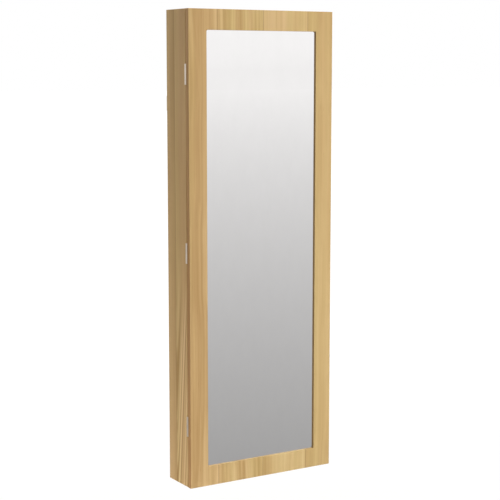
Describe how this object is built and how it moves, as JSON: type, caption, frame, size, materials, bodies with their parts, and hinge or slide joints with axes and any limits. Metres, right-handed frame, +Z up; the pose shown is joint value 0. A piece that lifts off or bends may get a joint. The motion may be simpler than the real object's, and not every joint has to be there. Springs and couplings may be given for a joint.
{
  "type": "jewelry mirror cabinet",
  "caption": "Wall-hung shallow cabinet with a full-length framed mirror door over shelves, ring cushion, pegs and racks for jewelry.",
  "frame": {"origin": "on the wall plane, midway between the two keyhole entries of the hanger plates", "axes": "+Z up, +Y into the wall (the mirror faces -Y), +X to the right as seen from the front"},
  "size_m": [0.3775, 0.1025, 1.06],
  "materials": {
    "oak_foil": "satin wood-grain foil on board",
    "back_board": "plain hardboard",
    "beech": "turned beech",
    "velvet": "flocked velvet",
    "ring_velvet": "velvet over foam",
    "mirror_glass": "silvered float glass",
    "clear_acrylic": "clear polished acrylic",
    "nickel_steel": "satin nickel plate",
    "catch_plastic": "moulded plastic",
    "magnet": "sintered ferrite",
    "bumper_rubber": "soft clear-grey rubber",
    "foam": "thin closed-cell foam"
  },
  "bodies": {
    "cabinet": {"back_lining": "velvet", "back_panel": "back_board", "bay_divider": "oak_foil", "bottom_panel": "oak_foil", "bracelet_bar": "beech", "cabinet_screws": "nickel_steel", "cam_bolts": "nickel_steel", "cam_locks": "nickel_steel", "catch_housing": "catch_plastic", "catch_magnet": "magnet", "catch_poles": "nickel_steel", "corner_dowels": "beech", "divider_dowels": "beech", "hinge_pins": "nickel_steel", "left_bar_cup": "nickel_steel", "left_hanger_plate": "nickel_steel", "left_side_panel": "oak_foil", "lower_hinge_cabinet_leaf": "nickel_steel", "middle_hinge_cabinet_leaf": "nickel_steel", "necklace_pegs": "nickel_steel", "necklace_rail": "oak_foil", "right_bar_cup": "nickel_steel", "right_hanger_plate": "nickel_steel", "right_side_panel": "oak_foil", "ring_cushion": "ring_velvet", "ring_tray": "oak_foil", "shelf_1": "oak_foil", "shelf_2": "oak_foil", "shelf_3": "oak_foil", "shelf_4": "oak_foil", "shelf_guard_2": "clear_acrylic", "shelf_guard_3": "clear_acrylic", "shelf_guard_4": "clear_acrylic", "shelf_pins": "nickel_steel", "top_panel": "oak_foil", "upper_hinge_cabinet_leaf": "nickel_steel"},
    "door": {"door_bumpers": "bumper_rubber", "door_frame": "oak_foil", "door_lining": "velvet", "door_screws": "nickel_steel", "door_tray_floor": "oak_foil", "door_tray_guard": "clear_acrylic", "earring_strip_1": "clear_acrylic", "earring_strip_2": "clear_acrylic", "earring_strip_3": "clear_acrylic", "earring_strip_4": "clear_acrylic", "left_rack_upright": "oak_foil", "left_tray_cheek": "oak_foil", "lining_clips": "nickel_steel", "lower_hinge_door_leaf": "nickel_steel", "middle_hinge_door_leaf": "nickel_steel", "mirror_glass": "mirror_glass", "mirror_pad": "foam", "right_rack_upright": "oak_foil", "right_tray_cheek": "oak_foil", "strike_plate": "nickel_steel", "upper_hinge_door_leaf": "nickel_steel"}
  },
  "joints": [
    {"name": "door_hinge", "type": "hinge", "parent": "cabinet", "child": "door", "pos_m": [-0.1875, -0.0895, 0], "axis": [0, 0, -1], "range_deg": [0, 170]}
  ]
}
